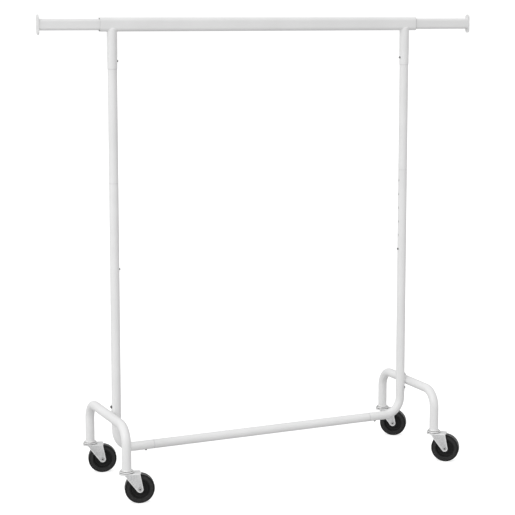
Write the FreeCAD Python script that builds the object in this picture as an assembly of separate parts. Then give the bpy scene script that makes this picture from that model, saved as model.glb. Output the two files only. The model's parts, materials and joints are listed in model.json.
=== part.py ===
"""Rolling clothes rack with a telescoping height and two pull-out rail ends.

Millimetres. +X runs along the hanging rail to the right, -Y is the front, +Z is up.
The origin is on the floor, midway between the two posts.
"""
import FreeCAD, Part
import math
import os

V = FreeCAD.Vector
X, Y, Z = V(1, 0, 0), V(0, 1, 0), V(0, 0, 1)
SIDES = (("left", -1), ("right", 1))

# ---- tubes and fits ----
TUBE_R = 12.5
TUBE_WALL = 1.0
BORE_R = TUBE_R - TUBE_WALL
SLIDE_GAP = 0.07          # a tube that telescopes inside another
INNER_R = BORE_R - SLIDE_GAP
INNER_BORE_R = INNER_R - TUBE_WALL
SEAM = 0.4                # open line where one tube's end meets the next
PAST = 1.0                # how far a cutting solid runs past the face it cuts
SAME = 1e-6               # two lengths this close are the same

# ---- frame ----
POST_X = 440.5            # post axis from the middle
CROSSBAR_Z = 104.0
CORNER_BEND_R = 50.0      # centre line of the bend at the foot of a post
CORNER_REACH = 105.0      # post axis to the end of the corner's level arm
SPIGOT_LENGTH = 42.0      # swaged end of the crossbar inside the corner
JOINT_Z = 826.0           # where the upper post meets the lower post
INNER_POST_Z = (475.0, 930.0)
CRIMP_Z = (872.0, 918.0)  # rolled beads that hold the inner post in the upper post
CRIMP_LENGTH = 5.0
HEIGHT_HOLE_Z = 595.0
HEIGHT_HOLE_COUNT = 6
HEIGHT_HOLE_PITCH = 40.0

# ---- rail ----
RAIL_TOP_Z = 1262.5
RAIL_HEIGHT = 36.5
RAIL_DEPTH = 20.0
RAIL_WALL = 1.2
RAIL_HALF = 475.0
RAIL_Z = RAIL_TOP_Z - RAIL_HEIGHT / 2
RAIL_BOTTOM_Z = RAIL_TOP_Z - RAIL_HEIGHT
FLAT_WIDTH = 1.0          # flat left between the two corner arcs of an oval section
SOCKET_R = 13.3           # sleeve under the rail that takes the top of a post
SOCKET_FIT = 0.05
SOCKET_BORE_R = TUBE_R + SOCKET_FIT
SOCKET_Z = 1128.5
SOCKET_COPE = 9.0         # how far the sleeve reaches up the rail's sides
SOCKET_TAPER_DROP = 4.0   # weld tapers in over this height below the sleeve's top
SOCKET_TAPER_IN = 3.5
SOCKET_BUTTON_Z = 1149.0
POST_TOP_Z = 1218.0

# ---- pull-out rail ends ----
ROD_HEIGHT = 29.5
ROD_DEPTH = 15.0
ROD_WALL = 1.2
ROD_X = (357.0, 645.0)    # middle setting of a pull-out rod
ROD_SHIFT = {"left": 5.4, "right": 5.4}   # both to the right: left rod in a little, right rod out a little
ROD_GAP = 0.08
GLIDE_X = (447.0, 473.0)
GUIDE_LENGTH = 12.0
GUIDE_PLUG = 16.0
GUIDE_GAP = 0.1
CAP_HEIGHT = 52.0
CAP_DEPTH = 19.0
CAP_THICK = 3.0
CAP_PLUG = 22.0
CAP_EDGE = 1.0            # rounding of the cap's outer rim

# ---- feet ----
FOOT_Z = 201.0            # centre line of the arch's level tube
FOOT_BEND_R = 47.0
LEG_Y = 150.0
LEG_END_Z = 88.5
BRACKET_THICK = 1.0
BRACKET_Z = (171.0, 228.0)
BRACKET_WRAP = 62.0       # degrees each side of straight outward
FOOT_X = POST_X + 2 * TUBE_R + BRACKET_THICK
SCREW_Z = (181.0, 220.5)
SCREW_R = 2.0
SCREW_HEAD_R = 4.2
SCREW_HEAD = 3.2
SCREW_LENGTH = 9.0
SCREW_HEAD_ROUND = 0.6    # share of the head's height that is rounded
CROSS_WIDTH = 0.9         # cross recess in the head
CROSS_SPAN = 4.0
CROSS_DEPTH = 0.8

# ---- snap buttons ----
BUTTON_R = 2.95
BUTTON_HOLE_R = 3.0
OUTER_HOLE_R = 3.15
BUTTON_PROUD = 3.3
BUTTON_DOME = 1.6
FLANGE_R = 4.2
FLANGE_THICK = 1.0
FLANGE_GAP = 0.3
LEAF_WIDTH = 6.0
LEAF_THICK = 0.6
LEAF_TOP = 5.0
LEAF_KNEE = 5.0
LEAF_LENGTH = 36.0
LEAF_KNEE_R = 3.0
LEAF_BEND_R = 2.0
LEAF_WALL_GAP = 0.1       # resting leg to the tube's wall
CROSSBAR_BUTTON_REACH = 84.0

# ---- casters ----
WHEEL_R = 39.5
TYRE_WIDTH = 24.0
TYRE_INNER_R = 27.0
TYRE_SHOULDER = 4.5
TYRE_LIP = 0.6            # chamfer where the tyre meets the hub
HUB_WIDTH = 20.5
HUB_RECESS = 6.0
HUB_RIM = 3.0
HUB_BOSS_R = 7.5
HUB_BOSS_FLARE = 1.5      # how much wider the boss is at the web
HUB_EDGE = 1.0            # chamfer at the boss's end
HUB_RIM_EDGE = 0.5
HUB_END_GAP = 0.3         # boss to the fork's cheek
TRAIL = 33.5
AXLE_R = 3.0
AXLE_GAP = 0.05
AXLE_HEAD_R = 4.6
AXLE_HEAD = 2.0
AXLE_HEAD_ROUND = 0.9
AXLE_DIMPLE_R = 2.0
AXLE_DIMPLE_FLOOR = 0.8   # rivet metal left under the dimple
FORK_INNER = 14.0         # inner face of a cheek from the wheel's middle
FORK_SHEET = 1.6
FORK_EDGE = 1.0           # raised edge round a cheek
FORK_EDGE_WIDTH = 1.8
CROWN_TOP_Z = 82.0
CROWN_SKIRT_Z = 78.0
CROWN_FRONT = -19.5
CROWN_BACK = 37.0
CROWN_NOSE_CORNER = 11.0
CROWN_TAIL_CORNER = 5.0
CHEEK_SHOULDER = (-1.5, 70.0)   # where the cheek's front curve turns into its straight edge
CHEEK_BELLY = (0.9, 0.7)  # how far the front curve bulges off its straight line
CHEEK_TAIL_INSET = 2.5
BOSS_ANGLES = (218, 290, 8)     # where the boss leaves the front edge, its lowest part, where it meets the rear edge
BOSS_R = 8.8
RACE_R = 19.0
RACE_Z = (82.8, 86.4)     # bright ring that holds the balls
RACE_EDGE = 1.5
NECK_R = 14.5
WASHER_R = 16.5
WASHER_Z = 87.2
BALL_R = 1.5
BALL_RING_R = 13.0
BALL_Z = 82.6
BALL_COUNT = 14
GROOVE_GAP = 0.1
STEM_POINT = 1.0          # chamfer at the stem's top
STEM_HEAD_ROUND = 1.2
STEM_R = 4.0
STEM_GAP = 0.08
STEM_TOP_Z = 119.0
STEM_HEAD_R = 6.5
STEM_HEAD_Z = (78.2, 80.1)
LEG_SOCKET_LENGTH = 30.0
# direction each wheel trails in, in degrees anticlockwise from +X
CASTERS = (
    ("front_left", -1, -1, -16.0),
    ("front_right", 1, -1, -39.0),
    ("rear_left", -1, 1, -16.0),
    ("rear_right", 1, 1, -37.0),
)


# ---- shapes ----
def rod(radius, start, end):
    axis = end - start
    return Part.makeCylinder(radius, axis.Length, start, axis)


def tube(outer, inner, start, end):
    return rod(outer, start, end).cut(rod(inner, start, end))


def bent_path(points, radius):
    """Straight runs joined by arcs of one radius."""
    edges, start = [], points[0]
    for before, corner, after in zip(points, points[1:], points[2:]):
        back, on = (before - corner).normalize(), (after - corner).normalize()
        half = back.getAngle(on) / 2
        reach = radius / math.tan(half)
        middle = (back + on).normalize() * (radius / math.sin(half) - radius)
        enter, leave = corner + back * reach, corner + on * reach
        edges.append(Part.LineSegment(start, enter).toShape())
        edges.append(Part.Arc(enter, corner + middle, leave).toShape())
        start = leave
    edges.append(Part.LineSegment(start, points[-1]).toShape())
    return Part.Wire(edges)


def bent_rod(points, bend, radius):
    ring = Part.Circle(points[0], points[1] - points[0], radius).toShape()
    return bent_path(points, bend).makePipeShell([Part.Wire(ring)], True, False)


def bent_tube(points, bend):
    return bent_rod(points, bend, TUBE_R).cut(bent_rod(points, bend, BORE_R))


def oval_bar(height, depth, x_start, x_end, z_middle=RAIL_Z):
    """Bar along X with an upright oval section."""
    corner = (depth - FLAT_WIDTH) / 2
    low, high = min(x_start, x_end), max(x_start, x_end)
    block = Part.makeBox(high - low, depth, height, V(low, -depth / 2, z_middle - height / 2))
    return block.makeFillet(corner, [e for e in block.Edges if e.Length > high - low - SAME
                                     and abs(e.tangentAt(e.FirstParameter).x) > 0.99])


def ring(profile_points):
    """Solid turned about the Z axis from (radius, z) points."""
    wire = Part.makePolygon([V(r, 0, z) for r, z in profile_points + profile_points[:1]])
    return Part.Face(wire).revolve(V(0, 0, 0), Z, 360)


def placed(shape, spin_axis, degrees, position):
    shape = shape.copy()
    shape.rotate(V(0, 0, 0), spin_axis, degrees)
    shape.translate(position)
    return shape


def mirrored_left(shape, side):
    """The right-hand shape for side 1, its mirror image for side -1."""
    return shape if side > 0 else shape.mirror(V(0, 0, 0), X)


# ---- snap button, made at the origin with its tube along Z and pointing along +X ----
def flange_front(bore_r):
    return math.sqrt(bore_r**2 - FLANGE_R**2) - FLANGE_GAP


def snap_button(bore_r, outer_r):
    front = flange_front(bore_r)
    pin = rod(BUTTON_R, V(front, 0, 0), V(outer_r + BUTTON_PROUD, 0, 0))
    tip = [e for e in pin.Edges if e.BoundBox.XMin > outer_r]
    flange = rod(FLANGE_R, V(front - FLANGE_THICK, 0, 0), V(front, 0, 0))
    return pin.makeFillet(BUTTON_DOME, tip).fuse(flange).removeSplitter()


def leaf_spring(bore_r):
    """V of flat strip: one leg pushes the button out, the other rests on the far wall."""
    near = flange_front(bore_r) - FLANGE_THICK - LEAF_THICK / 2
    far = -math.sqrt(bore_r**2 - (LEAF_WIDTH / 2) ** 2) + LEAF_WALL_GAP + LEAF_THICK / 2
    line = [V(near, 0, LEAF_TOP), V(near, 0, -LEAF_KNEE), V(far + 2 * LEAF_BEND_R, 0, -LEAF_LENGTH)]
    slope = bent_path(line, LEAF_KNEE_R)
    end = slope.Vertexes[-1].Point
    bend = Part.Arc(end, V(far + LEAF_BEND_R, 0, -LEAF_LENGTH - LEAF_BEND_R), V(far, 0, -LEAF_LENGTH))
    back = Part.LineSegment(V(far, 0, -LEAF_LENGTH), V(far, 0, LEAF_TOP))
    path = Part.Wire(slope.Edges + [bend.toShape(), back.toShape()])
    w, t = LEAF_WIDTH / 2, LEAF_THICK / 2
    corners = [V(near - t, -w, LEAF_TOP), V(near + t, -w, LEAF_TOP),
               V(near + t, w, LEAF_TOP), V(near - t, w, LEAF_TOP)]
    section = Part.makePolygon(corners + corners[:1])
    return path.makePipeShell([section], True, True)


# ---- right-hand pieces, mirrored for the left ----
def lower_post():
    top, elbow = V(POST_X, 0, JOINT_Z), V(POST_X, 0, CROSSBAR_Z)
    post = bent_tube([top, elbow, V(POST_X - CORNER_REACH, 0, CROSSBAR_Z)], CORNER_BEND_R)
    for n in range(HEIGHT_HOLE_COUNT):
        z = HEIGHT_HOLE_Z + n * HEIGHT_HOLE_PITCH
        post = post.cut(rod(OUTER_HOLE_R, V(POST_X, 0, z), V(POST_X - 2 * TUBE_R, 0, z)))
    x = POST_X - CROSSBAR_BUTTON_REACH
    post = post.cut(rod(OUTER_HOLE_R, V(x, 0, CROSSBAR_Z), V(x, 0, CROSSBAR_Z - 2 * TUBE_R)))
    for z in SCREW_Z:
        post = post.cut(rod(SCREW_R, V(POST_X, 0, z), V(POST_X + 2 * TUBE_R, 0, z)))
    return post


def inner_post():
    low, high = INNER_POST_Z
    post = tube(INNER_R, INNER_BORE_R, V(POST_X, 0, low), V(POST_X, 0, high))
    for z in CRIMP_Z:
        bead = tube(BORE_R, INNER_BORE_R, V(POST_X, 0, z), V(POST_X, 0, z + CRIMP_LENGTH))
        post = post.fuse(bead)
    post = post.removeSplitter()
    return post.cut(rod(BUTTON_HOLE_R, V(POST_X, 0, HEIGHT_HOLE_Z),
                        V(POST_X - 2 * TUBE_R, 0, HEIGHT_HOLE_Z)))


def upper_post():
    post = tube(TUBE_R, BORE_R, V(POST_X, 0, JOINT_Z + SEAM), V(POST_X, 0, POST_TOP_Z))
    return post.cut(rod(BUTTON_HOLE_R, V(POST_X, 0, SOCKET_BUTTON_Z),
                        V(POST_X - 2 * TUBE_R, 0, SOCKET_BUTTON_Z)))


def rail_socket():
    """Sleeve welded under the rail, its top coped round the rail's lower half."""
    top = RAIL_BOTTOM_Z + SOCKET_COPE
    sleeve = tube(SOCKET_R, SOCKET_BORE_R, V(POST_X, 0, SOCKET_Z), V(POST_X, 0, top))
    weld = rod(SOCKET_R, V(POST_X, 0, RAIL_BOTTOM_Z), V(POST_X, 0, top))
    taper = ring([(SOCKET_R + PAST, top - SOCKET_TAPER_DROP), (SOCKET_R + PAST, top + PAST),
                  (SOCKET_R - SOCKET_TAPER_IN, top + PAST)])
    taper.translate(V(POST_X, 0, 0))
    sleeve = sleeve.fuse(weld).removeSplitter().cut(taper)
    sleeve = sleeve.cut(oval_bar(RAIL_HEIGHT, RAIL_DEPTH, POST_X - 2 * SOCKET_R, POST_X + 2 * SOCKET_R))
    return sleeve.cut(rod(OUTER_HOLE_R, V(POST_X, 0, SOCKET_BUTTON_Z),
                          V(POST_X - 2 * TUBE_R, 0, SOCKET_BUTTON_Z)))


def foot_arch():
    path = [V(FOOT_X, -LEG_Y, LEG_END_Z), V(FOOT_X, -LEG_Y, FOOT_Z),
            V(FOOT_X, LEG_Y, FOOT_Z), V(FOOT_X, LEG_Y, LEG_END_Z)]
    return bent_tube(path, FOOT_BEND_R)


def foot_bracket():
    """Curved plate round the outer side of the post, screwed to it, welded to the arch."""
    low, high = BRACKET_Z
    outer = TUBE_R + BRACKET_THICK
    sector = Part.makeCylinder(outer, high - low, V(0, 0, low), Z, 2 * BRACKET_WRAP)
    sector = sector.cut(rod(TUBE_R, V(0, 0, low), V(0, 0, high)))
    sector = placed(sector, Z, -BRACKET_WRAP, V(POST_X, 0, 0))
    for z in SCREW_Z:
        sector = sector.cut(rod(SCREW_R, V(POST_X, 0, z), V(POST_X + 2 * TUBE_R, 0, z)))
    return sector.cut(rod(TUBE_R, V(FOOT_X, -LEG_Y, FOOT_Z), V(FOOT_X, LEG_Y, FOOT_Z)))


def bracket_screws():
    screws = []
    seat = POST_X + TUBE_R + BRACKET_THICK
    for z in SCREW_Z:
        shank = rod(SCREW_R, V(seat - SCREW_LENGTH, 0, z), V(seat, 0, z))
        head = rod(SCREW_HEAD_R, V(seat, 0, z), V(seat + SCREW_HEAD, 0, z))
        edge = [e for e in head.Edges if e.BoundBox.XMin > seat + SCREW_HEAD / 2]
        head = head.makeFillet(SCREW_HEAD * SCREW_HEAD_ROUND, edge)
        screw = shank.fuse(head).removeSplitter()
        for width, height in ((CROSS_SPAN, CROSS_WIDTH), (CROSS_WIDTH, CROSS_SPAN)):
            corner = V(seat + SCREW_HEAD - CROSS_DEPTH, -width / 2, z - height / 2)
            screw = screw.cut(Part.makeBox(CROSS_DEPTH + PAST, width, height, corner))
        screws.append(screw)
    return screws


def extension_rod():
    low, high = ROD_X
    outer = oval_bar(ROD_HEIGHT, ROD_DEPTH, low, high)
    return outer.cut(oval_bar(ROD_HEIGHT - 2 * ROD_WALL, ROD_DEPTH - 2 * ROD_WALL, low - PAST, high + PAST))


def rail_glide():
    low, high = GLIDE_X
    outer = oval_bar(RAIL_HEIGHT - 2 * RAIL_WALL, RAIL_DEPTH - 2 * RAIL_WALL, low, high)
    return outer.cut(oval_bar(ROD_HEIGHT + 2 * ROD_GAP, ROD_DEPTH + 2 * ROD_GAP, low - PAST, high + PAST))


def rod_guide():
    """Plastic shoe on the hidden end of a pull-out rod, running inside the rail."""
    low = ROD_X[0]
    shrink = 2 * (RAIL_WALL + GUIDE_GAP)
    shoe = oval_bar(RAIL_HEIGHT - shrink, RAIL_DEPTH - shrink, low - GUIDE_LENGTH, low)
    plug = oval_bar(ROD_HEIGHT - 2 * ROD_WALL, ROD_DEPTH - 2 * ROD_WALL, low, low + GUIDE_PLUG)
    return shoe.fuse(plug).removeSplitter()


def end_cap():
    high = ROD_X[1]
    corner = (CAP_DEPTH - FLAT_WIDTH) / 2
    plate = Part.makeBox(CAP_THICK, CAP_DEPTH, CAP_HEIGHT, V(high, -CAP_DEPTH / 2, RAIL_Z - CAP_HEIGHT / 2))
    plate = plate.makeFillet(corner, [e for e in plate.Edges if abs(e.Length - CAP_THICK) < SAME])
    rim = [e for e in plate.Edges if e.BoundBox.XMin > high + CAP_THICK / 2]
    plate = plate.makeFillet(CAP_EDGE, rim)
    plug = oval_bar(ROD_HEIGHT - 2 * ROD_WALL, ROD_DEPTH - 2 * ROD_WALL, high - CAP_PLUG, high)
    return plate.fuse(plug).removeSplitter()


# ---- whole-width pieces ----
def top_rail():
    outer = oval_bar(RAIL_HEIGHT, RAIL_DEPTH, -RAIL_HALF, RAIL_HALF)
    half = RAIL_HALF + PAST
    inside = oval_bar(RAIL_HEIGHT - 2 * RAIL_WALL, RAIL_DEPTH - 2 * RAIL_WALL, -half, half)
    return outer.cut(inside)


def crossbar():
    shoulder = POST_X - CORNER_REACH - SEAM
    tip = shoulder + SPIGOT_LENGTH
    bar = tube(TUBE_R, BORE_R, V(-shoulder, 0, CROSSBAR_Z), V(shoulder, 0, CROSSBAR_Z))
    for _, side in SIDES:
        step = V(side * (shoulder - TUBE_WALL), 0, CROSSBAR_Z)
        end = V(side * shoulder, 0, CROSSBAR_Z)
        bar = bar.fuse(tube(TUBE_R, INNER_BORE_R, step, end))
        bar = bar.fuse(tube(INNER_R, INNER_BORE_R, step, V(side * tip, 0, CROSSBAR_Z)))
    bar = bar.removeSplitter()
    for _, side in SIDES:
        x = side * (POST_X - CROSSBAR_BUTTON_REACH)
        bar = bar.cut(rod(BUTTON_HOLE_R, V(x, 0, CROSSBAR_Z), V(x, 0, CROSSBAR_Z - TUBE_R - PAST)))
    return bar


# ---- caster, made at the origin with its wheel trailing along +X ----
def crown_block(inset, back, z_low, z_high):
    """Flat top of the fork: blunt rounded nose at the front, a tab with small corners over the wheel."""
    half = FORK_INNER + FORK_SHEET - inset
    front = CROWN_FRONT + inset
    block = Part.makeBox(back - front, 2 * half, z_high - z_low, V(front, -half, z_low))
    for x, corner in ((front, CROWN_NOSE_CORNER), (back, CROWN_TAIL_CORNER)):
        upright = [e for e in block.Edges if abs(e.Length - (z_high - z_low)) < SAME
                   and abs(e.CenterOfMass.x - x) < SAME and abs(e.tangentAt(e.FirstParameter).z) > 0.99]
        block = block.makeFillet(corner - inset, upright)
    return block


def cheek_face(y):
    """Side plate of the fork: a curved front shoulder, then a taper down to a round boss at the axle."""
    top, nose_x = CROWN_TOP_Z - FORK_SHEET, CROWN_FRONT + CROWN_NOSE_CORNER
    axle = V(TRAIL, y, WHEEL_R)

    def boss(degrees):
        a = math.radians(degrees)
        return axle + V(BOSS_R * math.cos(a), 0, BOSS_R * math.sin(a))

    nose_low, shoulder = V(nose_x, y, CROWN_SKIRT_Z), V(CHEEK_SHOULDER[0], y, CHEEK_SHOULDER[1])
    middle = (nose_low + shoulder) * 0.5 + V(CHEEK_BELLY[0], 0, CHEEK_BELLY[1])
    tail = V(CROWN_BACK - CHEEK_TAIL_INSET, y, top)
    leaves, lowest, meets = [boss(degrees) for degrees in BOSS_ANGLES]
    edges = [
        Part.LineSegment(V(nose_x, y, top), nose_low),
        Part.Arc(nose_low, middle, shoulder),
        Part.LineSegment(shoulder, leaves),
        Part.Arc(leaves, lowest, meets),
        Part.LineSegment(meets, tail),
        Part.LineSegment(tail, V(nose_x, y, top)),
    ]
    return Part.Face(Part.Wire([e.toShape() for e in edges]))


def fork():
    """Pressed sheet: a crown with a turned-down edge, open over the wheel, and two cheeks."""
    crown = crown_block(0, CROWN_BACK, CROWN_SKIRT_Z, CROWN_TOP_Z)
    past_back = CROWN_BACK + 2 * CROWN_TAIL_CORNER
    under = crown_block(FORK_SHEET, past_back, CROWN_SKIRT_Z - PAST, CROWN_TOP_Z - FORK_SHEET)
    crown = crown.cut(under)
    for way in (-1, 1):
        face = cheek_face(way * FORK_INNER)
        plate = face.extrude(V(0, way * FORK_SHEET, 0))
        inner = face.makeOffset2D(-FORK_EDGE_WIDTH)
        rim = face.extrude(V(0, way * (FORK_SHEET + FORK_EDGE), 0)).cut(
            inner.extrude(V(0, way * (FORK_SHEET + FORK_EDGE), 0)))
        crown = crown.fuse(plate).fuse(rim)
    crown = crown.removeSplitter()
    crown = crown.cut(rod(STEM_R + STEM_GAP, V(0, 0, CROWN_SKIRT_Z), V(0, 0, CROWN_TOP_Z + PAST)))
    crown = crown.cut(Part.makeTorus(BALL_RING_R, BALL_R + GROOVE_GAP, V(0, 0, BALL_Z), Z))
    reach = FORK_INNER + FORK_SHEET + FORK_EDGE + PAST
    return crown.cut(rod(AXLE_R, V(TRAIL, -reach, WHEEL_R), V(TRAIL, reach, WHEEL_R)))


def stem():
    low, high = STEM_HEAD_Z
    cap = rod(RACE_R, V(0, 0, RACE_Z[0]), V(0, 0, RACE_Z[1]))
    cap = cap.makeFillet(RACE_EDGE, [e for e in cap.Edges if e.Curve.TypeId == "Part::GeomCircle"])
    cap = cap.fuse(rod(NECK_R, V(0, 0, RACE_Z[1] - PAST), V(0, 0, WASHER_Z)))
    cap = cap.fuse(rod(WASHER_R, V(0, 0, WASHER_Z), V(0, 0, LEG_END_Z)))
    cap = cap.cut(Part.makeTorus(BALL_RING_R, BALL_R + GROOVE_GAP, V(0, 0, BALL_Z), Z))
    pin = rod(STEM_R, V(0, 0, low), V(0, 0, STEM_TOP_Z))
    pin = pin.makeChamfer(STEM_POINT, [e for e in pin.Edges if e.CenterOfMass.z > STEM_TOP_Z - SAME])
    head = rod(STEM_HEAD_R, V(0, 0, low), V(0, 0, high))
    head = head.makeFillet(STEM_HEAD_ROUND, [e for e in head.Edges if e.CenterOfMass.z < low + SAME])
    return cap.fuse(pin).fuse(head).removeSplitter()


def balls():
    solids = []
    for n in range(BALL_COUNT):
        a = 2 * math.pi * n / BALL_COUNT
        centre = V(BALL_RING_R * math.cos(a), BALL_RING_R * math.sin(a), BALL_Z)
        solids.append(Part.makeSphere(BALL_R, centre))
    return solids


def along_axle(shape):
    """Turn a solid made about Z so that Z lies along the axle, at the axle's place."""
    return placed(shape, X, 90, V(TRAIL, 0, WHEEL_R))


def axle():
    half = FORK_INNER + FORK_SHEET
    pin = rod(AXLE_R, V(0, 0, -half), V(0, 0, half))
    for way in (-1, 1):
        head = rod(AXLE_HEAD_R, V(0, 0, way * half), V(0, 0, way * (half + AXLE_HEAD)))
        rim = [e for e in head.Edges if abs(e.CenterOfMass.z) > half + AXLE_HEAD - SAME]
        head = head.makeFillet(AXLE_HEAD_ROUND, rim)
        dimple = (way * (half + AXLE_DIMPLE_FLOOR), way * (half + AXLE_HEAD + PAST))
        head = head.cut(rod(AXLE_DIMPLE_R, V(0, 0, dimple[0]), V(0, 0, dimple[1])))
        pin = pin.fuse(head)
    return along_axle(pin.removeSplitter())


def hub():
    half, web = HUB_WIDTH / 2, HUB_WIDTH / 2 - HUB_RECESS
    boss = FORK_INNER - HUB_END_GAP
    rim_r = TYRE_INNER_R - HUB_RIM
    bore = AXLE_R + AXLE_GAP
    one_side = [(HUB_BOSS_R - HUB_EDGE, boss), (HUB_BOSS_R, boss - HUB_EDGE), (HUB_BOSS_R + HUB_BOSS_FLARE, web),
                (rim_r - HUB_BOSS_FLARE, web), (rim_r, half - HUB_RIM_EDGE), (rim_r + HUB_RIM_EDGE, half),
                (TYRE_INNER_R, half)]
    other = [(r, -z) for r, z in reversed(one_side)]
    return along_axle(ring([(bore, boss)] + one_side + other + [(bore, -boss)]))


def tyre():
    half = TYRE_WIDTH / 2
    band = tube(WHEEL_R, TYRE_INNER_R, V(0, 0, -half), V(0, 0, half))

    def circles(radius):
        return [e for e in band.Edges
                if e.Curve.TypeId == "Part::GeomCircle" and abs(e.Curve.Radius - radius) < SAME]

    band = band.makeFillet(TYRE_SHOULDER, circles(WHEEL_R))
    return along_axle(band.makeChamfer(TYRE_LIP, circles(TYRE_INNER_R)))


def leg_socket():
    return tube(BORE_R, STEM_R, V(0, 0, LEG_END_Z), V(0, 0, LEG_END_Z + LEG_SOCKET_LENGTH))


# ---- everything, by node name ----
def build():
    nodes = {"top_rail": [top_rail()], "crossbar": [crossbar()]}
    handed = {
        "lower_post": lower_post, "inner_post": inner_post, "upper_post": upper_post,
        "rail_socket": rail_socket, "foot_arch": foot_arch, "foot_bracket": foot_bracket,
        "extension_rod": extension_rod, "rail_glide": rail_glide, "rod_guide": rod_guide,
        "end_cap": end_cap,
    }
    for name, make in handed.items():
        right = make()
        moves_with_rod = name in ("extension_rod", "rod_guide", "end_cap")
        for side_name, side in SIDES:
            shift = V(ROD_SHIFT[side_name] if moves_with_rod else 0, 0, 0)
            nodes[f"{side_name}_{name}"] = [placed(mirrored_left(right, side), Z, 0, shift)]
    nodes["foot_bracket_screws"] = [mirrored_left(s, side) for _, side in SIDES for s in bracket_screws()]

    # (place, bore the flange sits in, outermost radius, height); the tube runs along Z and the tip faces inward
    uprights = (("height", INNER_BORE_R, TUBE_R, HEIGHT_HOLE_Z),
                ("socket", BORE_R, SOCKET_R, SOCKET_BUTTON_Z))
    for place, bore_r, outer_r, z in uprights:
        for side_name, side in SIDES:
            at = V(side * POST_X, 0, z)
            turn = 180 if side > 0 else 0
            nodes[f"{side_name}_{place}_button"] = [placed(snap_button(bore_r, outer_r), Z, turn, at)]
            nodes[f"{side_name}_{place}_spring"] = [placed(leaf_spring(bore_r), Z, turn, at)]
    for side_name, side in SIDES:
        # tube along X, tip down, the spring's bend towards the middle of the crossbar
        at = V(side * (POST_X - CROSSBAR_BUTTON_REACH), 0, CROSSBAR_Z)
        for kind, shape in (("button", snap_button(INNER_BORE_R, TUBE_R)), ("spring", leaf_spring(INNER_BORE_R))):
            shape = mirrored_left(placed(shape, Y, 90, V(0, 0, 0)), side).copy()
            nodes[f"{side_name}_crossbar_{kind}"] = [placed(shape, Z, 0, at)]

    makers = {"stem": lambda: [stem()], "balls": balls, "fork": lambda: [fork()],
              "axle": lambda: [axle()], "hub": lambda: [hub()], "tyre": lambda: [tyre()]}
    nodes["leg_sockets"] = []
    for corner, x_side, y_side, trail_angle in CASTERS:
        at = V(x_side * FOOT_X, y_side * LEG_Y, 0)
        for kind, make in makers.items():
            nodes[f"{corner}_caster_{kind}"] = [placed(s, Z, trail_angle, at) for s in make()]
        nodes["leg_sockets"].append(placed(leg_socket(), Z, 0, at))
    return nodes


def main():
    os.makedirs("parts", exist_ok=True)
    for name, solids in build().items():
        shape = solids[0] if len(solids) == 1 else Part.makeCompound(solids)
        if not shape.isValid() or not shape.Solids:
            raise ValueError(f"{name} is not a valid solid")
        shape.exportStep(f"parts/{name}.step")
        print(f"{name}: {len(shape.Solids)} solid(s), {shape.Volume / 1000:.2f} cm3")


main()
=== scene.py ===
"""Rolling clothes rack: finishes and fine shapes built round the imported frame. Metres throughout."""
import json
import math

import bmesh
import bpy
from mathutils import Matrix, Vector


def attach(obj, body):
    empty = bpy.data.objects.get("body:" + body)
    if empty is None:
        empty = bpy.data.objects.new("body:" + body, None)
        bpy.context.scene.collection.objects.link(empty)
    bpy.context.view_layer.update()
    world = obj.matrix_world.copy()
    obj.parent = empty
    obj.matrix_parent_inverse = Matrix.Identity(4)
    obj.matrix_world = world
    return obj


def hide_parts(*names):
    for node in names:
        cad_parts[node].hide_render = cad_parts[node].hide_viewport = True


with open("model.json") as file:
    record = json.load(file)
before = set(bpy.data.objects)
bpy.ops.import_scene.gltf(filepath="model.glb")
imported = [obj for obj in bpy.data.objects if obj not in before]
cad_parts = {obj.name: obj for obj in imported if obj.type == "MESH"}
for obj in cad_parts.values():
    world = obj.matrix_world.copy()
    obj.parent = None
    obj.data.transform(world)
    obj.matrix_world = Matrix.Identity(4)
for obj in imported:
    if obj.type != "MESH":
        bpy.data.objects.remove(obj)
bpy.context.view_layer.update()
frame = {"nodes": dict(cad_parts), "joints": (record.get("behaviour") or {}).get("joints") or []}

MM = 0.001
SIDES = (("left", -1), ("right", 1))
CORNERS = ("front_left", "front_right", "rear_left", "rear_right")
JOINTS = {joint["name"]: joint for joint in frame["joints"]}

# ---- sizes the frame was built to, for the shapes that follow its surfaces ----
POST_X = 440.5 * MM
TUBE_R = 12.5 * MM
BRACKET_R = 13.5 * MM
ARCH_Z = 201.0 * MM
RAIL_BOTTOM_Z = 1226.0 * MM
RAIL_FLANK_R = 9.5 * MM          # radius of the rail's rounded underside
RAIL_END_X = 475.0 * MM
SOCKET_R = 13.3 * MM
HOLE_Z, HOLE_PITCH = 595.0 * MM, 40.0 * MM
HOLES_END_Z = 815.0 * MM         # above the last height hole
JOINT_Z = 826.0 * MM
SLEEVE_Z = 1128.5 * MM           # foot of the sleeve under the rail
RACE_TOP_Z = 86.4 * MM           # bright ring at the top of a caster
CROWN_SKIRT_Z = 77.9 * MM        # just below the turned-down edge of a fork's crown
CHEEK_RIM_OUT = 16.1 * MM        # from the wheel's middle, past the cheek's flat, short of its raised edge
RIVET_R, DIMPLE_R = 4.6 * MM, 2.0 * MM
SEAM_X = 335.3 * MM              # where the crossbar's ends meet the corner bends
BAR_TOP_Z = 120.0 * MM           # just over the crossbar

# ---- light, floor, camera ----
FLOOR_HALF = 40.0
FLOOR_GLOW = 0.68
SKY_SEEN = 1.05                  # strength of the air as the camera sees it
LIGHT_SIDE = (-0.60, -0.42, 0.67)
AIR_DIM, AIR_BRIGHT = 0.26, 1.13
KEY_PLACE, KEY_TARGET, KEY_SIZE, KEY_POWER = (-4.6, -2.3, 2.9), (0, 0, 0.6), 2.2, 55
EYE_PLACE, EYE_LENS, EYE_SHIFT = (-1.765, -3.795, 1.268), 106.17, -0.1
EYE_DOWN, EYE_TURN = 7.154, -24.68      # degrees


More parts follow.
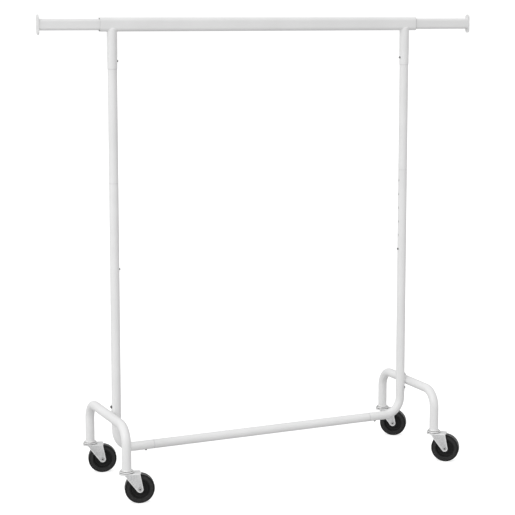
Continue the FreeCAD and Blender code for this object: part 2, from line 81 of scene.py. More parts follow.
# ---- material recipes ----
class Recipe:
    """One material's node tree, read on Object coordinates."""

    def __init__(self, name, roughness=0.5, metallic=0.0, specular=0.5):
        self.material = bpy.data.materials.new(name)
        self.material.use_nodes = True
        self.tree = self.material.node_tree
        self.tree.nodes.clear()
        self.shader = self.node("ShaderNodeBsdfPrincipled")
        self.shader.inputs["Roughness"].default_value = roughness
        self.shader.inputs["Metallic"].default_value = metallic
        self.shader.inputs["Specular IOR Level"].default_value = specular
        output = self.node("ShaderNodeOutputMaterial")
        self.tree.links.new(self.shader.outputs["BSDF"], output.inputs["Surface"])
        self.place = self.node("ShaderNodeTexCoord").outputs["Object"]

    def node(self, kind, **settings):
        made = self.tree.nodes.new(kind)
        for key, value in settings.items():
            setattr(made, key, value)
        return made

    def feed(self, socket, value):
        if isinstance(value, bpy.types.NodeSocket):
            self.tree.links.new(value, socket)
        else:
            socket.default_value = value

    def axes(self):
        split = self.node("ShaderNodeSeparateXYZ")
        self.feed(split.inputs[0], self.place)
        return split.outputs

    def noise(self, scale, detail, stretch=(1, 1, 1)):
        spread = self.node("ShaderNodeMapping")
        self.feed(spread.inputs["Vector"], self.place)
        spread.inputs["Scale"].default_value = stretch
        made = self.node("ShaderNodeTexNoise")
        self.feed(made.inputs["Vector"], spread.outputs["Vector"])
        made.inputs["Scale"].default_value = scale
        made.inputs["Detail"].default_value = detail
        return made.outputs["Fac"]

    def cells(self, scale):
        made = self.node("ShaderNodeTexVoronoi")
        self.feed(made.inputs["Vector"], self.place)
        made.inputs["Scale"].default_value = scale
        return made.outputs["Distance"]

    def math(self, operation, first, second=0.0, clamp=False):
        made = self.node("ShaderNodeMath", operation=operation, use_clamp=clamp)
        self.feed(made.inputs[0], first)
        self.feed(made.inputs[1], second)
        return made.outputs[0]

    def spread(self, value, low, high, to_low=0.0, to_high=1.0):
        """Value between low and high, taken smoothly to another range and held at its ends."""
        made = self.node("ShaderNodeMapRange", interpolation_type="SMOOTHSTEP")
        for slot, number in zip(range(5), (value, low, high, to_low, to_high)):
            self.feed(made.inputs[slot], number)
        return made.outputs[0]

    def near(self, value, middle, far, close):
        """1 within close of the middle value, 0 beyond far of it."""
        return self.spread(self.math("ABSOLUTE", self.math("SUBTRACT", value, middle)), far, close)

    def blend(self, share, first, second):
        made = self.node("ShaderNodeMix", data_type="RGBA")
        self.feed(made.inputs["Factor"], share)
        for socket, colour in ((made.inputs[6], first), (made.inputs[7], second)):
            self.feed(socket, (*colour, 1.0) if isinstance(colour, tuple) else colour)
        return made.outputs[2]

    def grain(self, height, depth, strength, over=None):
        made = self.node("ShaderNodeBump")
        made.inputs["Distance"].default_value = depth
        made.inputs["Strength"].default_value = strength
        self.feed(made.inputs["Height"], height)
        if over is not None:
            self.feed(made.inputs["Normal"], over)
        return made.outputs["Normal"]

    def finish(self, colour=None, roughness=None, normal=None):
        for name, value in (("Base Color", colour), ("Roughness", roughness), ("Normal", normal)):
            if value is not None:
                self.feed(self.shader.inputs[name], value)
        return self.material


def post_wear_and_shade(recipe):
    """Share of chipped, dirty paint round the height holes, of dark lines along the seams between tubes, and
    of a painted shadow line just under the sleeve's lower end.
    """
    x, y, z = recipe.axes()
    across = recipe.math("ABSOLUTE", x)
    inward = recipe.spread(across, POST_X - 2 * MM, POST_X - 4 * MM)
    first = HOLE_Z - HOLE_PITCH / 2
    level = recipe.math("FLOORED_MODULO", recipe.math("SUBTRACT", z, first), HOLE_PITCH)
    step = recipe.math("SUBTRACT", level, HOLE_PITCH / 2)
    reach = recipe.math("SQRT", recipe.math("ADD", recipe.math("MULTIPLY", step, step),
                                            recipe.math("MULTIPLY", y, y)))
    lip = recipe.spread(reach, 4.2 * MM, 3.1 * MM)
    among = recipe.math("MULTIPLY", recipe.spread(z, first, first + MM),
                        recipe.spread(z, HOLES_END_Z, HOLES_END_Z - MM))
    holes = recipe.math("MULTIPLY", recipe.math("MULTIPLY", lip, inward), among)
    holes = recipe.math("MULTIPLY", holes, recipe.spread(recipe.noise(420, 4), 0.32, 0.62))
    low = recipe.spread(z, BAR_TOP_Z + 5 * MM, BAR_TOP_Z)
    bar_seam = recipe.math("MULTIPLY", recipe.near(across, SEAM_X, 2.2 * MM, 0.8 * MM), low)
    seams = recipe.math("ADD", recipe.math("MULTIPLY", recipe.near(z, JOINT_Z, 1.6 * MM, 0.2 * MM), 0.25),
                        recipe.math("MULTIPLY", bar_seam, 0.25))
    # painted shadow line just under the sleeve's lower end, where it steps out over the post
    sleeve_shadow = recipe.near(z, SLEEVE_Z - 0.6 * MM, 2.0 * MM, 0.5 * MM)
    seams = recipe.math("ADD", seams, recipe.math("MULTIPLY", sleeve_shadow, 0.3))
    return recipe.math("MAXIMUM", holes, seams, clamp=True)


def powder_coat(name, tone, peel, worn_and_shaded=False):
    """White powder coat: orange peel, a slow change of tone, fine specks."""
    recipe = Recipe(name, specular=0.4)
    shade = tuple(c * 0.955 for c in tone)
    colour = recipe.blend(recipe.spread(recipe.noise(9, 4), 0.35, 0.7), tone, shade)
    specks = recipe.spread(recipe.cells(330), 0.10, 0.05)
    colour = recipe.blend(recipe.math("MULTIPLY", specks, 0.10), colour, tuple(c * 0.7 for c in tone))
    if worn_and_shaded:
        # darkens the chipped hole rims and the seam lines, and paints the shadow line under the sleeve's
        # lower end
        colour = recipe.blend(recipe.math("MULTIPLY", post_wear_and_shade(recipe), 0.55), colour, (0.33, 0.33, 0.33))
    rough = recipe.spread(recipe.noise(55, 3), 0.3, 0.7, 0.36, 0.47)
    normal = recipe.grain(recipe.noise(760, 2), 0.03 * MM, peel)
    normal = recipe.grain(recipe.noise(190, 2), 0.05 * MM, peel * 0.6, over=normal)
    return recipe.finish(colour, rough, normal)


def rail_coat(name, shaded_end=False):
    """The rail and its pull-out rods: the same coat with faint rub lines along the bar, and on the rail a
    painted shadow band just inside its ends.
    """
    recipe = Recipe(name, specular=0.4)
    tone = (0.83, 0.83, 0.83)
    colour = recipe.blend(recipe.spread(recipe.noise(8, 4), 0.35, 0.7), tone, (0.795, 0.795, 0.795))
    rubs = recipe.noise(700, 3, stretch=(0.012, 1, 1))
    colour = recipe.blend(recipe.spread(rubs, 0.62, 0.74, 0.0, 0.22), colour, (0.66, 0.66, 0.66))
    if shaded_end:
        # painted shade: a darker band just inside the rail's end, where the rod comes out of it
        end = recipe.spread(recipe.axes()["X"], RAIL_END_X - 2.4 * MM, RAIL_END_X - 1.2 * MM)
        colour = recipe.blend(recipe.math("MULTIPLY", end, 0.6), colour, (0.40, 0.40, 0.40))
    rough = recipe.spread(rubs, 0.3, 0.7, 0.32, 0.48)
    normal = recipe.grain(rubs, 0.015 * MM, 0.3)
    return recipe.finish(colour, rough, recipe.grain(recipe.noise(720, 2), 0.03 * MM, 0.45, over=normal))


def cap_plastic():
    """Moulded white polypropylene with a spark-eroded grain."""
    recipe = Recipe("cap plastic", specular=0.45)
    colour = recipe.blend(recipe.spread(recipe.noise(60, 4), 0.35, 0.7),
                          (0.80, 0.80, 0.80), (0.765, 0.765, 0.765))
    rough = recipe.spread(recipe.noise(300, 2), 0.3, 0.7, 0.40, 0.50)
    recipe.shader.inputs["Subsurface Weight"].default_value = 0.08
    recipe.shader.inputs["Subsurface Radius"].default_value = (2 * MM, 2 * MM, 2 * MM)
    return recipe.finish(colour, rough, recipe.grain(recipe.cells(2600), 0.02 * MM, 0.4))


def dark_plastic(name, tone, grain_scale):
    """Black moulded plastic, finely grained, a little dust in the grain."""
    recipe = Recipe(name, specular=0.35)
    dust = recipe.spread(recipe.noise(140, 5), 0.55, 0.8, 0.0, 0.35)
    colour = recipe.blend(dust, (tone,) * 3, (tone * 2.1,) * 3)
    rough = recipe.spread(recipe.noise(220, 3), 0.3, 0.7, 0.5, 0.66)
    return recipe.finish(colour, rough, recipe.grain(recipe.cells(grain_scale), 0.04 * MM, 0.5))


def tyre_rubber(name, tone, scuffed):
    """Dark grey rubber: matt, scuffed to a paler grey, finely pitted."""
    recipe = Recipe(name, specular=0.3)
    scuffs = recipe.spread(recipe.noise(260, 5), 0.45, 0.75)
    colour = recipe.blend(scuffs, (tone,) * 3, (scuffed,) * 3)
    lint = recipe.spread(recipe.cells(420), 0.09, 0.04, 0.0, 0.25)
    colour = recipe.blend(lint, colour, (0.12, 0.12, 0.115))
    rough = recipe.spread(recipe.noise(180, 3), 0.3, 0.7, 0.58, 0.75)
    normal = recipe.grain(recipe.noise(1500, 3), 0.05 * MM, 0.5)
    return recipe.finish(colour, rough, recipe.grain(recipe.noise(160, 3), 0.08 * MM, 0.35, over=normal))


def zinc_sheet():
    """Zinc plated pressing: satin, with a fine stipple and cloudy plating."""
    recipe = Recipe("zinc plated sheet", metallic=0.3)
    clouds = recipe.spread(recipe.noise(75, 4), 0.35, 0.7)
    colour = recipe.blend(clouds, (0.74, 0.743, 0.746), (0.66, 0.663, 0.666))
    stipple = recipe.spread(recipe.noise(520, 1), 0.44, 0.62)
    colour = recipe.blend(recipe.math("MULTIPLY", stipple, 0.55), colour, (0.42, 0.423, 0.426))
    # lightens the fork's raised edges (polished plating plus painted highlight) and its crown (painted light
    # from above)
    rubbed_and_lit = recipe.node("ShaderNodeAttribute", attribute_name="rubbed_and_lit").outputs["Fac"]
    colour = recipe.blend(recipe.spread(rubbed_and_lit, 0.0, 1.0, 0.0, 0.85), colour, (0.93, 0.93, 0.93))
    rough = recipe.spread(recipe.noise(240, 3), 0.3, 0.7, 0.38, 0.52)
    normal = recipe.grain(recipe.cells(620), 0.07 * MM, 0.5)
    return recipe.finish(colour, rough, recipe.grain(recipe.noise(90, 3), 0.06 * MM, 0.4, over=normal))


def turned_steel(name, tone, dark, rough_low, rough_high, metallic=1.0):
    """Steel with fine tool lines round the upright and a light haze."""
    recipe = Recipe(name, metallic=metallic)
    lines = recipe.noise(1400, 2, stretch=(0.1, 0.1, 2))
    colour = recipe.blend(recipe.spread(recipe.noise(160, 4), 0.35, 0.7), (tone,) * 3, (dark,) * 3)
    rough = recipe.spread(lines, 0.3, 0.7, rough_low, rough_high)
    return recipe.finish(colour, rough, recipe.grain(lines, 0.02 * MM, 0.3))


def bearing_steel():
    """Plated ball race: bright on its rim, with painted shade as dark bands in the gap above it and under its
    lip.
    """
    recipe = Recipe("ball race steel", metallic=0.45)
    height = recipe.axes()["Z"]
    # painted shade: dark bands just above the race's top and under its lip
    above = recipe.math("MULTIPLY", recipe.spread(height, RACE_TOP_Z + 0.05 * MM, RACE_TOP_Z + 0.15 * MM),
                        recipe.spread(height, RACE_TOP_Z + 1.5 * MM, RACE_TOP_Z + 1.1 * MM))
    under = recipe.spread(height, RACE_TOP_Z - 2.4 * MM, RACE_TOP_Z - 2.8 * MM)
    gap_shade = recipe.math("MAXIMUM", above, under)
    gap_shade = recipe.math("MULTIPLY", gap_shade, recipe.spread(recipe.noise(300, 3), 0.2, 0.5, 0.75, 1.0))
    bright = recipe.blend(recipe.spread(recipe.noise(160, 4), 0.35, 0.7),
                          (0.95, 0.95, 0.95), (0.86, 0.86, 0.86))
    colour = recipe.blend(gap_shade, bright, (0.06, 0.058, 0.055))
    rough = recipe.spread(gap_shade, 0.0, 1.0, 0.2, 0.6)
    lines = recipe.noise(1400, 2, stretch=(0.1, 0.1, 2))
    return recipe.finish(colour, rough, recipe.grain(lines, 0.02 * MM, 0.3))


def rivet_steel(corner):
    """Peened rivet: light steel on its rounded head, with painted shade in the dimple and a painted shadow
    where the head meets the fork.
    """
    recipe = Recipe("rivet steel " + corner, metallic=0.7)
    joint = JOINTS[corner + "_wheel_spin"]
    offset = recipe.node("ShaderNodeVectorMath", operation="SUBTRACT")
    recipe.feed(offset.inputs[0], recipe.place)
    offset.inputs[1].default_value = joint["pos_m"]
    cross = recipe.node("ShaderNodeVectorMath", operation="CROSS_PRODUCT")
    recipe.feed(cross.inputs[0], offset.outputs["Vector"])
    cross.inputs[1].default_value = joint["axis"]
    length = recipe.node("ShaderNodeVectorMath", operation="LENGTH")
    recipe.feed(length.inputs[0], cross.outputs["Vector"])
    reach = length.outputs["Value"]
    # painted shade in the dimple and painted shadow round the head's edge, darker with distance from the axle
    dark = recipe.math("MAXIMUM", recipe.spread(reach, DIMPLE_R + 0.7 * MM, DIMPLE_R),
                       recipe.spread(reach, RIVET_R - 0.5 * MM, RIVET_R - 0.1 * MM, 0.0, 0.7))
    colour = recipe.blend(dark, (0.62, 0.62, 0.62), (0.07, 0.07, 0.07))
    return recipe.finish(colour, recipe.spread(recipe.noise(400, 3), 0.3, 0.7, 0.3, 0.45),
                         recipe.grain(recipe.noise(900, 2), 0.02 * MM, 0.3))


def blued_strip():
    """Spring strip, blued: straw and blue bands from the tempering."""
    recipe = Recipe("blued spring strip", metallic=1.0)
    colour = recipe.blend(recipe.spread(recipe.noise(120, 2), 0.4, 0.62),
                          (0.30, 0.33, 0.42), (0.46, 0.40, 0.32))
    rough = recipe.spread(recipe.noise(500, 3), 0.3, 0.7, 0.28, 0.4)
    return recipe.finish(colour, rough, recipe.grain(recipe.noise(900, 2), 0.01 * MM, 0.3))


FINISHES = {
    "tube_paint": powder_coat("powder coat", (0.83, 0.83, 0.83), 0.5, worn_and_shaded=True),
    "rail_paint": rail_coat("rail powder coat"),
    "end_cap": cap_plastic(),
    "black_plastic": dark_plastic("black plastic", 0.018, 2200),
    "wheel_hub": dark_plastic("hub plastic", 0.0055, 1800),
    "tyre": tyre_rubber("tyre rubber", 0.022, 0.036),
    "zinc_sheet": zinc_sheet(),
    "bright_steel": turned_steel("bright steel", 0.86, 0.74, 0.16, 0.28),
    "button_steel": turned_steel("button steel", 0.34, 0.24, 0.3, 0.42),
    "spring_steel": blued_strip(),
    "screw_steel": turned_steel("screw steel", 0.20, 0.12, 0.3, 0.44, metallic=0.8),
}
for node in frame["nodes"].values():
    for place in node.material_slots:
        place.material = FINISHES[place.material.name]
rail_tube = rail_coat("rail tube powder coat", shaded_end=True)
frame["nodes"]["top_rail"].material_slots[0].material = rail_tube
race_steel = bearing_steel()
for corner in CORNERS:
    frame["nodes"][corner + "_caster_axle"].material_slots[0].material = rivet_steel(corner)
    frame["nodes"][corner + "_caster_stem"].material_slots[0].material = race_steel


# ---- geometry node patterns ----
class Pattern:
    """A geometry node tree with named inputs, run once and turned into a plain mesh."""

    def __init__(self, name, inputs):
        self.tree = bpy.data.node_groups.new(name, "GeometryNodeTree")
        self.sockets = {}
        shape = self.tree.interface.new_socket("Shape", in_out="INPUT", socket_type="NodeSocketGeometry")
        self.sockets["Shape"] = shape.identifier
        for label, kind in inputs.items():
            made = self.tree.interface.new_socket(label, in_out="INPUT", socket_type="NodeSocket" + kind)
            self.sockets[label] = made.identifier
        self.tree.interface.new_socket("Shape", in_out="OUTPUT", socket_type="NodeSocketGeometry")
        self.inputs = self.tree.nodes.new("NodeGroupInput").outputs

    def node(self, kind, feeds=(), **settings):
        made = self.tree.nodes.new(kind)
        for key, value in settings.items():
            setattr(made, key, value)
        for key, value in dict(feeds).items():
            socket = made.inputs[key]
            if isinstance(value, bpy.types.NodeSocket):
                self.tree.links.new(value, socket)
            else:
                socket.default_value = value
        return made.outputs

    def join(self, *shapes):
        made = self.tree.nodes.new("GeometryNodeJoinGeometry")
        for shape in shapes:
            self.tree.links.new(shape, made.inputs[0])
        return made.outputs[0]

    def coat(self, shape, finish):
        return self.node("GeometryNodeSetMaterial", {"Geometry": shape, "Material": self.inputs[finish]})[0]

    def real(self, shape):
        return self.node("GeometryNodeRealizeInstances", {"Geometry": shape})[0]

    def end(self, shape):
        output = self.tree.nodes.new("NodeGroupOutput")
        self.tree.links.new(shape, output.inputs["Shape"])

    def run(self, mesh, values):
        """Mesh made by the pattern from a base mesh and its input values."""
        carrier = bpy.data.objects.new("carrier", mesh)
        bpy.context.scene.collection.objects.link(carrier)
        modifier = carrier.modifiers.new("pattern", "NODES")
        modifier.node_group = self.tree
        for label, value in values.items():
            modifier[self.sockets[label]] = value
        bpy.context.view_layer.update()
        graph = bpy.context.evaluated_depsgraph_get()
        plain = bpy.data.meshes.new_from_object(carrier.evaluated_get(graph), depsgraph=graph)
        bpy.data.objects.remove(carrier)
        return plain


def tread_pattern():
    """Short cross lugs in two staggered rows round a tyre, standing up from its tread."""
    made = Pattern("tyre tread", {"Lugs": "Int", "Tread Radius": "Float", "Row Offset": "Float",
                                  "Lug Length": "Float", "Lug Width": "Float", "Lug Height": "Float",
                                  "Lug Finish": "Material", "Finish": "Material"})
    put = made.inputs
    half = made.node("ShaderNodeMath", {0: put["Lug Length"], 1: 0.5}, operation="MULTIPLY")[0]
    low = made.node("ShaderNodeMath", {0: half, 1: -1.0}, operation="MULTIPLY")[0]
    ends = [made.node("ShaderNodeCombineXYZ", {"Z": reach})[0] for reach in (low, half)]
    line = made.node("GeometryNodeCurvePrimitiveLine", {"Start": ends[0], "End": ends[1]})[0]
    section = made.node("GeometryNodeCurvePrimitiveCircle", {"Resolution": 6, "Radius": 1.0})[0]
    lug = made.node("GeometryNodeCurveToMesh", {"Curve": line, "Profile Curve": section,
                                                "Fill Caps": True})[0]
    size = made.node("ShaderNodeCombineXYZ", {"X": put["Lug Height"], "Y": put["Lug Width"], "Z": 1.0})[0]
    pitch = made.node("ShaderNodeMath", {0: math.pi, 1: put["Lugs"]}, operation="DIVIDE")[0]
    turn = made.node("ShaderNodeCombineXYZ", {"Z": pitch})[0]
    rows = []
    for way in (-1, 1):
        offset = made.node("ShaderNodeMath", {0: put["Row Offset"], 1: float(way)}, operation="MULTIPLY")[0]
        circle = made.node("GeometryNodeMeshCircle",
                           {"Vertices": put["Lugs"], "Radius": put["Tread Radius"]})[0]
        placed = made.node("GeometryNodeTransform", {
            "Geometry": circle, "Translation": made.node("ShaderNodeCombineXYZ", {"Z": offset})[0],
            "Rotation": turn if way > 0 else (0, 0, 0)})[0]
        outward = made.node("FunctionNodeAlignRotationToVector",
                            {"Vector": made.node("GeometryNodeInputPosition")[0]},
                            axis="X", pivot_axis="Z")[0]
        rows.append(made.node("GeometryNodeInstanceOnPoints", {
            "Points": placed, "Instance": lug, "Rotation": outward, "Scale": size})[0])
    lugs = made.coat(made.real(made.join(*rows)), "Lug Finish")
    made.end(made.join(made.coat(put["Shape"], "Finish"), lugs))
    return made


def weld_pattern():
    """Overlapping ripples of weld metal along an edge path, over a solid core."""
    made = Pattern("weld bead", {"Spacing": "Float", "Bead Radius": "Float", "Seed": "Int",
                                 "Finish": "Material"})
    put = made.inputs
    path = made.node("GeometryNodeMeshToCurve", {"Mesh": put["Shape"]})[0]
    stations = made.node("GeometryNodeResampleCurve",
                         {"Curve": path, "Length": put["Spacing"]}, mode="LENGTH")[0]
    ripple = made.node("GeometryNodeMeshIcoSphere", {"Radius": 1.0, "Subdivisions": 2})[0]
    along = made.node("FunctionNodeAlignRotationToVector",
                      {"Vector": made.node("GeometryNodeInputTangent")[0]}, axis="X")[0]
    swell = made.node("FunctionNodeRandomValue", {2: 0.9, 3: 1.08, "Seed": put["Seed"]}, data_type="FLOAT")[1]
    across = made.node("ShaderNodeMath", {0: swell, 1: put["Bead Radius"]}, operation="MULTIPLY")[0]
    length = made.node("ShaderNodeMath", {0: across, 1: 0.62}, operation="MULTIPLY")[0]
    size = made.node("ShaderNodeCombineXYZ", {"X": length, "Y": across, "Z": across})[0]
    ripples = made.node("GeometryNodeInstanceOnPoints", {
        "Points": stations, "Instance": ripple, "Rotation": along, "Scale": size})[0]
    core_r = made.node("ShaderNodeMath", {0: put["Bead Radius"], 1: 0.82}, operation="MULTIPLY")[0]
    section = made.node("GeometryNodeCurvePrimitiveCircle", {"Resolution": 10, "Radius": core_r})[0]
    core = made.node("GeometryNodeCurveToMesh", {"Curve": stations, "Profile Curve": section,
                                                 "Fill Caps": True})[0]
    made.end(made.coat(made.real(made.join(core, ripples)), "Finish"))
    return made


TREAD, WELD = tread_pattern(), weld_pattern()


# ---- mesh helpers ----
def mesh_from(name, points, faces=(), edges=()):
    mesh = bpy.data.meshes.new(name)
    mesh.from_pydata([tuple(p) for p in points], edges, faces)
    return mesh


def piece(name, mesh, body, slot, replaced=(), crease=40.0):
    """Shown object at the origin, on a body, in a finish, standing for the nodes it replaces."""
    if not mesh.materials:
        mesh.materials.append(FINISHES[slot])
    mesh.shade_smooth()
    mesh.set_sharp_from_angle(angle=math.radians(crease))
    made = bpy.data.objects.new(name, mesh)
    bpy.context.scene.collection.objects.link(made)
    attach(made, body)
    if replaced:
        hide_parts(*replaced)
    return made


def turned(name, profile, steps):
    """Closed ring spun round Z from a closed (radius, height) outline given anticlockwise."""
    points, faces, count = [], [], len(profile)
    for step in range(steps):
        a = 2 * math.pi * step / steps
        points += [(r * math.cos(a), r * math.sin(a), z) for r, z in profile]
    for step in range(steps):
        here, there = step * count, (step + 1) % steps * count
        for n in range(count):
            after = (n + 1) % count
            faces.append((here + n, there + n, there + after, here + after))
    return mesh_from(name, points, faces)


def both_sides(half):
    """Outline in mm for one side of a wheel part, mirrored to close the ring."""
    whole = list(half) + [(r, -z) for r, z in reversed(half)]
    return [(r * MM, z * MM) for r, z in whole]


def on_axle(mesh, corner):
    """Mesh made round Z, moved on to that caster's axle."""
    joint = JOINTS[corner + "_wheel_spin"]
    turn = Vector((0, 0, 1)).rotation_difference(Vector(joint["axis"])).to_matrix().to_4x4()
    mesh.transform(Matrix.Translation(joint["pos_m"]) @ turn)
    return mesh


# ---- wheels ----
TYRE_SIDE = ((38.7, 0.6), (38.7, 9.9), (38.5, 10.3), (38.1, 10.5), (37.7, 10.4), (37.4, 9.9), (37.1, 8.9),
             (36.6, 8.4), (36.0, 8.4), (35.5, 9.0), (35.3, 10.4), (35.1, 11.4), (34.7, 11.9), (34.1, 12.0),
             (33.5, 11.8), (33.1, 11.5), (30.9, 11.4), (30.3, 11.65), (29.8, 11.95), (28.3, 12.0),
             (27.5, 11.75), (27.0, 11.3))
HUB_SIDE = ((27.0, 9.6), (26.8, 10.1), (26.3, 10.25), (25.0, 10.25), (24.4, 10.05), (24.0, 9.5), (23.7, 6.4),
            (23.2, 5.2), (22.2, 4.5), (21.0, 4.25), (17.9, 4.25), (17.5, 4.45), (17.2, 4.95), (16.2, 5.0),
            (15.8, 4.75), (15.5, 4.3), (11.4, 4.25), (10.2, 4.5), (9.2, 5.2), (8.6, 6.4), (7.5, 12.4),
            (7.2, 13.2), (6.5, 13.65), (4.2, 13.7), (3.3, 13.6), (3.05, 13.3))
TREAD_VALUES = {"Lugs": 84, "Tread Radius": 38.7 * MM, "Row Offset": 4.95 * MM, "Lug Length": 9.3 * MM,
                "Lug Width": 1.0 * MM, "Lug Height": 0.78 * MM, "Finish": FINISHES["tyre"],
                "Lug Finish": tyre_rubber("scuffed tread", 0.13, 0.34)}
TYRE_STEPS, HUB_STEPS = 120, 96
WHEEL_CREASE = 34.0


def wheel(corner):
    band = TREAD.run(turned("tyre band", both_sides(TYRE_SIDE), TYRE_STEPS), TREAD_VALUES)
    piece(corner + "_tyre_band", on_axle(band, corner), corner + "_wheel", "tyre",
          [corner + "_caster_tyre"], crease=WHEEL_CREASE)
    centre = turned("hub disc", both_sides(HUB_SIDE), HUB_STEPS)
    piece(corner + "_hub_disc", on_axle(centre, corner), corner + "_wheel", "wheel_hub",
          [corner + "_caster_hub"], crease=WHEEL_CREASE)


# ---- caster forks ----
FORK_EDGE_R, FORK_EDGE_STEPS = 0.32 * MM, 2
FORK_CREASE = 30.0
MERGE_WITHIN = 0.002 * MM
FLAT_WITHIN, ROUND_BEYOND = math.radians(0.6), math.radians(40)
RIM_RUBBED_AND_LIT, CROWN_PAINTED_LIGHT = 1.0, 0.6


def softened(node):
    """Copy of a fork's CAD mesh, merged and with its edges rounded."""
    form = bmesh.new()
    source = frame["nodes"][node].data.copy()
    source.attributes.remove(source.attributes["custom_normal"])
    form.from_mesh(source)
    bmesh.ops.remove_doubles(form, verts=form.verts, dist=MERGE_WITHIN)
    bmesh.ops.dissolve_limit(form, angle_limit=FLAT_WITHIN, verts=form.verts, edges=form.edges)
    mesh = bpy.data.meshes.new(node + " softened")
    form.to_mesh(mesh)
    form.free()
    carrier = bpy.data.objects.new("carrier", mesh)
    bpy.context.scene.collection.objects.link(carrier)
    bevel = carrier.modifiers.new("edges", "BEVEL")
    bevel.width, bevel.segments = FORK_EDGE_R, FORK_EDGE_STEPS
    bevel.limit_method, bevel.angle_limit = "ANGLE", ROUND_BEYOND
    bevel.use_clamp_overlap = True
    graph = bpy.context.evaluated_depsgraph_get()
    plain = bpy.data.meshes.new_from_object(carrier.evaluated_get(graph), depsgraph=graph)
    bpy.data.objects.remove(carrier)
    plain.materials.clear()
    return plain


def caster_fork(corner):
    """Fork with its raised edges marked as polished plating with a painted highlight, and its crown marked
    for painted light from above.
    """
    node = corner + "_caster_fork"
    mesh = softened(node)
    joint = JOINTS[corner + "_wheel_spin"]
    middle, axis = Vector(joint["pos_m"]), Vector(joint["axis"])
    rubbed_and_lit = mesh.attributes.new("rubbed_and_lit", "FLOAT", "POINT").data
    for point, mark in zip(mesh.vertices, rubbed_and_lit):
        # raised edges: partly polished plating, partly painted highlight; the upward-facing crown: painted
        # light from above
        if abs((point.co - middle).dot(axis)) > CHEEK_RIM_OUT:
            mark.value = RIM_RUBBED_AND_LIT
        elif point.co.z > CROWN_SKIRT_Z:
            mark.value = CROWN_PAINTED_LIGHT
    piece(corner + "_fork_pressing", mesh, corner + "_caster", "zinc_sheet", [node], crease=FORK_CREASE)


# ---- weld beads ----
ARCH_WELD_REACH = 7.6 * MM       # half the bead's length along the arch
ARCH_WELD_GAP = 2.4 * MM         # gap between arch and bracket that the bead fills
ARCH_WELD_STEPS = 72
SOCKET_WELD_STEPS = 20
SOCKET_WELD_SHORT = 0.7 * MM     # how far the bead stops short of the rail's flank
SOCKET_WELD_SUNK = 0.3 * MM


def arch_weld(side, way):
    """Closed bead round the place where the arch lies against the post's bracket."""
    points = []
    for step in range(ARCH_WELD_STEPS):
        turn = 2 * math.pi * step / ARCH_WELD_STEPS
        y = ARCH_WELD_REACH * math.sin(turn)
        from_bracket = BRACKET_R - math.sqrt(BRACKET_R ** 2 - y * y)
        left = max(ARCH_WELD_GAP - from_bracket, 0.0)
        rise = math.sqrt(TUBE_R ** 2 - (TUBE_R - left) ** 2)
        up = 1 if math.cos(turn) >= 0 else -1
        x = POST_X + BRACKET_R - from_bracket + ARCH_WELD_GAP / 2
        points.append((way * x, y, ARCH_Z + up * rise))
    mesh = mesh_from("weld path", points, edges=[(n, (n + 1) % len(points)) for n in range(len(points))])
    bead = WELD.run(mesh, {"Spacing": 0.8 * MM, "Bead Radius": 1.3 * MM, "Seed": 3 + way,
                           "Finish": FINISHES["tube_paint"]})
    piece(side + "_arch_weld", bead, "lower_frame", "tube_paint")


def socket_weld(side, way):
    """Two beads across the rail's underside, where it sits in the coped sleeve."""
    points, edges = [], []
    for end in (-1, 1):
        first = len(points)
        for step in range(SOCKET_WELD_STEPS + 1):
            y = (RAIL_FLANK_R - SOCKET_WELD_SHORT) * (2 * step / SOCKET_WELD_STEPS - 1)
            z = RAIL_BOTTOM_Z + RAIL_FLANK_R - math.sqrt(RAIL_FLANK_R ** 2 - y * y)
            x = math.sqrt(SOCKET_R ** 2 - y * y)
            points.append((way * POST_X + end * x, y, z - SOCKET_WELD_SUNK))
        edges += [(n, n + 1) for n in range(first, len(points) - 1)]
    bead = WELD.run(mesh_from("weld path", points, edges=edges),
                    {"Spacing": 0.9 * MM, "Bead Radius": 1.2 * MM, "Seed": 7 + way,
                     "Finish": FINISHES["tube_paint"]})
    piece(side + "_socket_weld", bead, "upper_frame", "tube_paint")


for corner in CORNERS:
    wheel(corner)
    caster_fork(corner)
for side, way in SIDES:
    arch_weld(side, way)
    socket_weld(side, way)


# ---- floor, light, camera ----
def floor():
    corners = [(x * FLOOR_HALF, y * FLOOR_HALF, 0) for x, y in ((-1, -1), (1, -1), (1, 1), (-1, 1))]
    mesh = mesh_from("floor", corners, [(0, 1, 2, 3)])
    recipe = Recipe("studio floor", roughness=0.9, specular=0.1)
    tone = recipe.blend(recipe.noise(3, 3), (0.60, 0.60, 0.60), (0.57, 0.57, 0.57))
    recipe.shader.inputs["Emission Color"].default_value = (1, 1, 1, 1)
    seen = recipe.node("ShaderNodeLightPath").outputs["Is Camera Ray"]
    recipe.feed(recipe.shader.inputs["Emission Strength"], recipe.math("MULTIPLY", seen, FLOOR_GLOW))
    mesh.materials.append(recipe.finish(tone))
    made = bpy.data.objects.new("floor", mesh)
    bpy.context.scene.collection.objects.link(made)


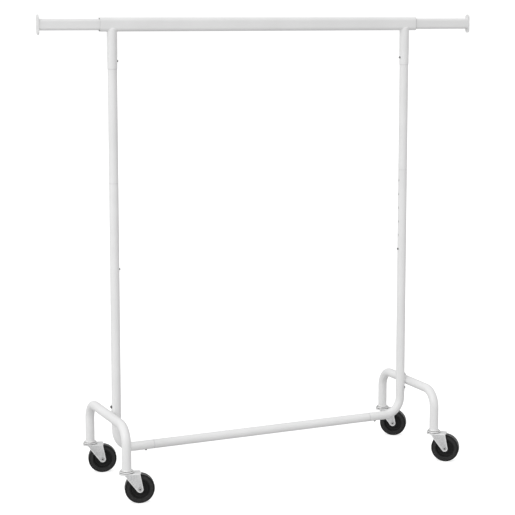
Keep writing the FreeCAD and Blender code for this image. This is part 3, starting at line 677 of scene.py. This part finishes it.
def soft_light(name, place, target, size, power):
    lamp = bpy.data.lights.new(name, "AREA")
    lamp.shape, lamp.size, lamp.energy = "DISK", size, power
    made = bpy.data.objects.new(name, lamp)
    made.location = place
    made.rotation_euler = (Vector(target) - Vector(place)).to_track_quat("-Z", "Y").to_euler()
    bpy.context.scene.collection.objects.link(made)


def studio_air():
    """Even light from all round: white to the eye, dimmer as it lights the rack, least from the right."""
    world = bpy.data.worlds.new("studio")
    bpy.context.scene.world = world
    world.use_nodes = True
    tree = world.node_tree
    tree.nodes.clear()
    add = tree.nodes.new
    out, mix, ray = add("ShaderNodeOutputWorld"), add("ShaderNodeMixShader"), add("ShaderNodeLightPath")
    lit, seen = add("ShaderNodeBackground"), add("ShaderNodeBackground")
    for part in (lit, seen):
        part.inputs["Color"].default_value = (1, 1, 1, 1)
    seen.inputs["Strength"].default_value = SKY_SEEN
    where, split, ramp = add("ShaderNodeTexCoord"), add("ShaderNodeVectorMath"), add("ShaderNodeMapRange")
    split.operation = "DOT_PRODUCT"
    split.inputs[1].default_value = Vector(LIGHT_SIDE).normalized()
    ramp.inputs["From Min"].default_value, ramp.inputs["From Max"].default_value = -1.0, 1.0
    ramp.inputs["To Min"].default_value, ramp.inputs["To Max"].default_value = AIR_DIM, AIR_BRIGHT
    links = tree.links
    links.new(where.outputs["Generated"], split.inputs[0])
    links.new(split.outputs["Value"], ramp.inputs["Value"])
    links.new(ramp.outputs["Result"], lit.inputs["Strength"])
    links.new(ray.outputs["Is Camera Ray"], mix.inputs["Fac"])
    links.new(lit.outputs[0], mix.inputs[1])
    links.new(seen.outputs[0], mix.inputs[2])
    links.new(mix.outputs[0], out.inputs["Surface"])


floor()
studio_air()
soft_light("key", KEY_PLACE, KEY_TARGET, KEY_SIZE, KEY_POWER)

eye = bpy.data.cameras.new("eye")
eye.lens, eye.sensor_width, eye.shift_y = EYE_LENS, 36.0, EYE_SHIFT
camera = bpy.data.objects.new("eye", eye)
camera.location = EYE_PLACE
camera.rotation_euler = (math.radians(90 - EYE_DOWN), 0, math.radians(EYE_TURN))
bpy.context.scene.collection.objects.link(camera)
bpy.context.scene.camera = camera
bpy.context.scene.view_settings.view_transform = "Standard"
